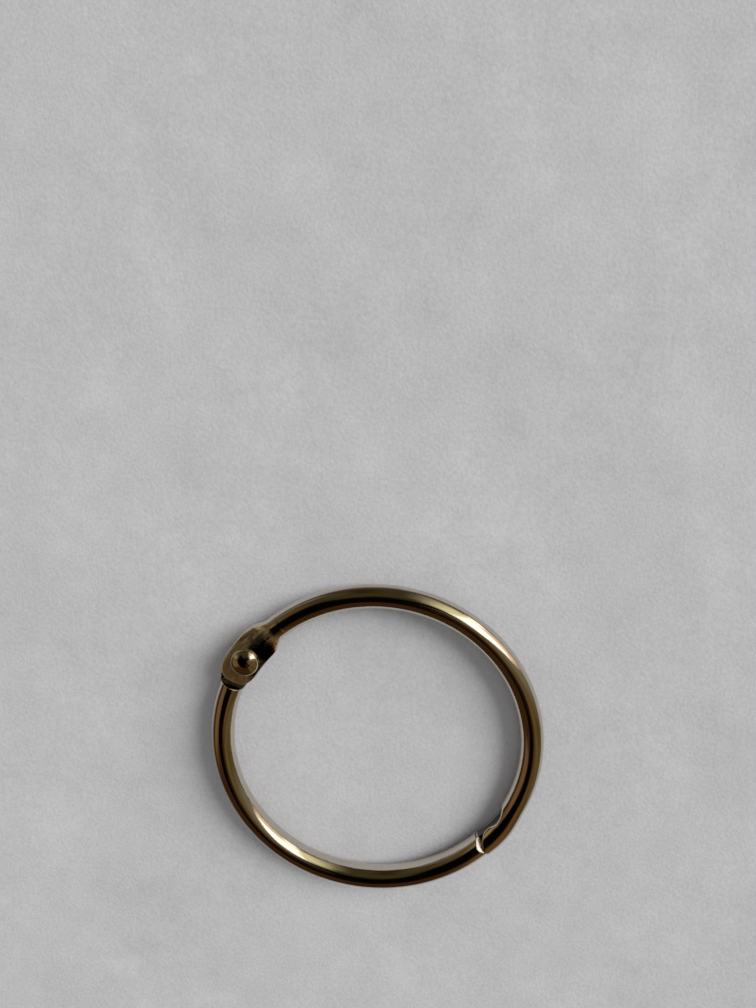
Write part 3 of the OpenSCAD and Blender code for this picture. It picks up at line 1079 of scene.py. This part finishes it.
class BinderRingView(bpy.types.PropertyGroup):
    """Where the camera is."""

    position: bpy.props.FloatVectorProperty(
        name="Position", description="Place of the camera", subtype="TRANSLATION", size=3,
        default=(0.00567, 0.06189, 0.10529), unit="LENGTH")
    direction: bpy.props.FloatVectorProperty(
        name="Direction", description="Where the camera looks", subtype="DIRECTION", size=3,
        default=(-0.0494, -0.2237, -0.9734))
    roll: bpy.props.FloatProperty(
        name="Roll", description="Turn of the camera about its own line of sight",
        default=0.0, subtype="ANGLE")
    lens: bpy.props.FloatProperty(
        name="Lens", description="Focal length in millimetres", default=27.04, min=1.0)


WIRE_SCRATCHES = {"length": 8.0, "fineness": 9.0, "crossing": 0.3}
RIVET_SCRATCHES = {"length": 2.0, "fineness": 12.0, "crossing": 0.5}


def half_values(ring):
    """The sizes that both halves share, in millimetres, by their inputs' names."""
    return {
        "Leaf Half Width": ring.leaf_width / 2 / MM,
        "Leaf Height": ring.leaf_height / MM,
        "Nose Length": ring.nose_length / MM,
        "Unevenness": ring.unevenness / MM,
    }


class BINDERRING_OT_channel_half(bpy.types.Operator):
    """Builds the half ring with the upper leaf and the slotted end"""

    bl_idname = "binder_ring.channel_half"
    bl_label = "Channel Half"

    def execute(self, context):
        turn = HINGE_ANGLE - CATCH_ANGLE
        values = {**half_values(context.scene.binder_ring_sizes),
            "Reach": turn * RING_RADIUS / MM, "Seed": 1.0}
        tree = ring_tree("Channel half", channel_half_shape, channel_half_marks,
            [*HALF_SIZES, *CHANNEL_SIZES], end=values["Reach"] - BUTT_GAP / MM, fine_end=10.5,
            turn_sign=-1, side_sign=1)
        material = plating("Plated wire", context.scene.binder_ring_look, **WIRE_SCRATCHES)
        piece_from(tree, "Channel_half", values, material, body="channel_side",
            node="channel_half")
        return {"FINISHED"}


class BINDERRING_OT_tongue_half(bpy.types.Operator):
    """Builds the half ring with the lower leaf and the tongue"""

    bl_idname = "binder_ring.tongue_half"
    bl_label = "Tongue Half"

    def execute(self, context):
        turn = math.tau + CATCH_ANGLE - HINGE_ANGLE
        values = {**half_values(context.scene.binder_ring_sizes),
            "Reach": turn * RING_RADIUS / MM, "Seed": 2.0, "Rivet Hole": 1.27,
            "Inner Taper Start": 1.2, "Inner Taper End": 5.6,
            "Outer Taper Start": 0.8, "Outer Taper End": 6.8}
        tree = ring_tree("Tongue half", tongue_half_shape, tongue_half_marks,
            [*HALF_SIZES, *TONGUE_SIZES], end=values["Reach"] + TONGUE_LENGTH, fine_end=8.0,
            turn_sign=1, side_sign=-1)
        material = plating("Plated wire with tongue", context.scene.binder_ring_look,
            **WIRE_SCRATCHES)
        piece_from(tree, "Tongue_half", values, material, body="tongue_side",
            node="tongue_half")
        return {"FINISHED"}


class BINDERRING_OT_rivet(bpy.types.Operator):
    """Builds the rivet that the halves turn on"""

    bl_idname = "binder_ring.rivet"
    bl_label = "Hinge Rivet"

    def execute(self, context):
        values = {"Axis X": RIVET_MIDDLE.x, "Axis Y": RIVET_MIDDLE.y, "Seed": 3.0}
        material = plating("Plated rivet", context.scene.binder_ring_look, **RIVET_SCRATCHES)
        piece_from(rivet_tree("Hinge rivet"), "Hinge_rivet", values, material,
            body="tongue_side", node="hinge_rivet")
        return {"FINISHED"}


class BINDERRING_OT_stage(bpy.types.Operator):
    """Builds the floor, the light and the camera"""

    bl_idname = "binder_ring.stage"
    bl_label = "Stage"

    def execute(self, context):
        look = context.scene.binder_ring_look
        context.scene.view_settings.view_transform = "Standard"
        floor_object(look)
        surroundings(look)
        window_lamp(look)
        camera_object(context.scene.binder_ring_view)
        return {"FINISHED"}


class BINDERRING_PT_panel(bpy.types.Panel):
    """Lists what the add-on builds"""

    bl_idname = "BINDERRING_PT_panel"
    bl_label = "Binder Ring"
    bl_space_type = "VIEW_3D"
    bl_region_type = "UI"
    bl_category = "Binder Ring"

    def draw(self, context):
        scene = context.scene
        for group in (scene.binder_ring_sizes, scene.binder_ring_look, scene.binder_ring_view):
            box = self.layout.box()
            for name in group.bl_rna.properties.keys():
                if name not in ("rna_type", "name"):
                    box.prop(group, name)
        for operator in OPERATORS:
            self.layout.operator(operator.bl_idname)


GROUP_CLASSES = (BinderRingSizes, BinderRingLook, BinderRingView)
OPERATORS = (
    BINDERRING_OT_channel_half,
    BINDERRING_OT_tongue_half,
    BINDERRING_OT_rivet,
    BINDERRING_OT_stage,
)
CLASSES = (*GROUP_CLASSES, *OPERATORS, BINDERRING_PT_panel)


def register():
    for cls in CLASSES:
        bpy.utils.register_class(cls)
    bpy.types.Scene.binder_ring_sizes = bpy.props.PointerProperty(type=BinderRingSizes)
    bpy.types.Scene.binder_ring_look = bpy.props.PointerProperty(type=BinderRingLook)
    bpy.types.Scene.binder_ring_view = bpy.props.PointerProperty(type=BinderRingView)


def unregister():
    del bpy.types.Scene.binder_ring_view
    del bpy.types.Scene.binder_ring_look
    del bpy.types.Scene.binder_ring_sizes
    for cls in reversed(CLASSES):
        bpy.utils.unregister_class(cls)


def main():
    register()
    bpy.ops.binder_ring.channel_half()
    bpy.ops.binder_ring.tongue_half()
    bpy.ops.binder_ring.rivet()
    bpy.ops.binder_ring.stage()


if __name__ == "__main__":
    main()
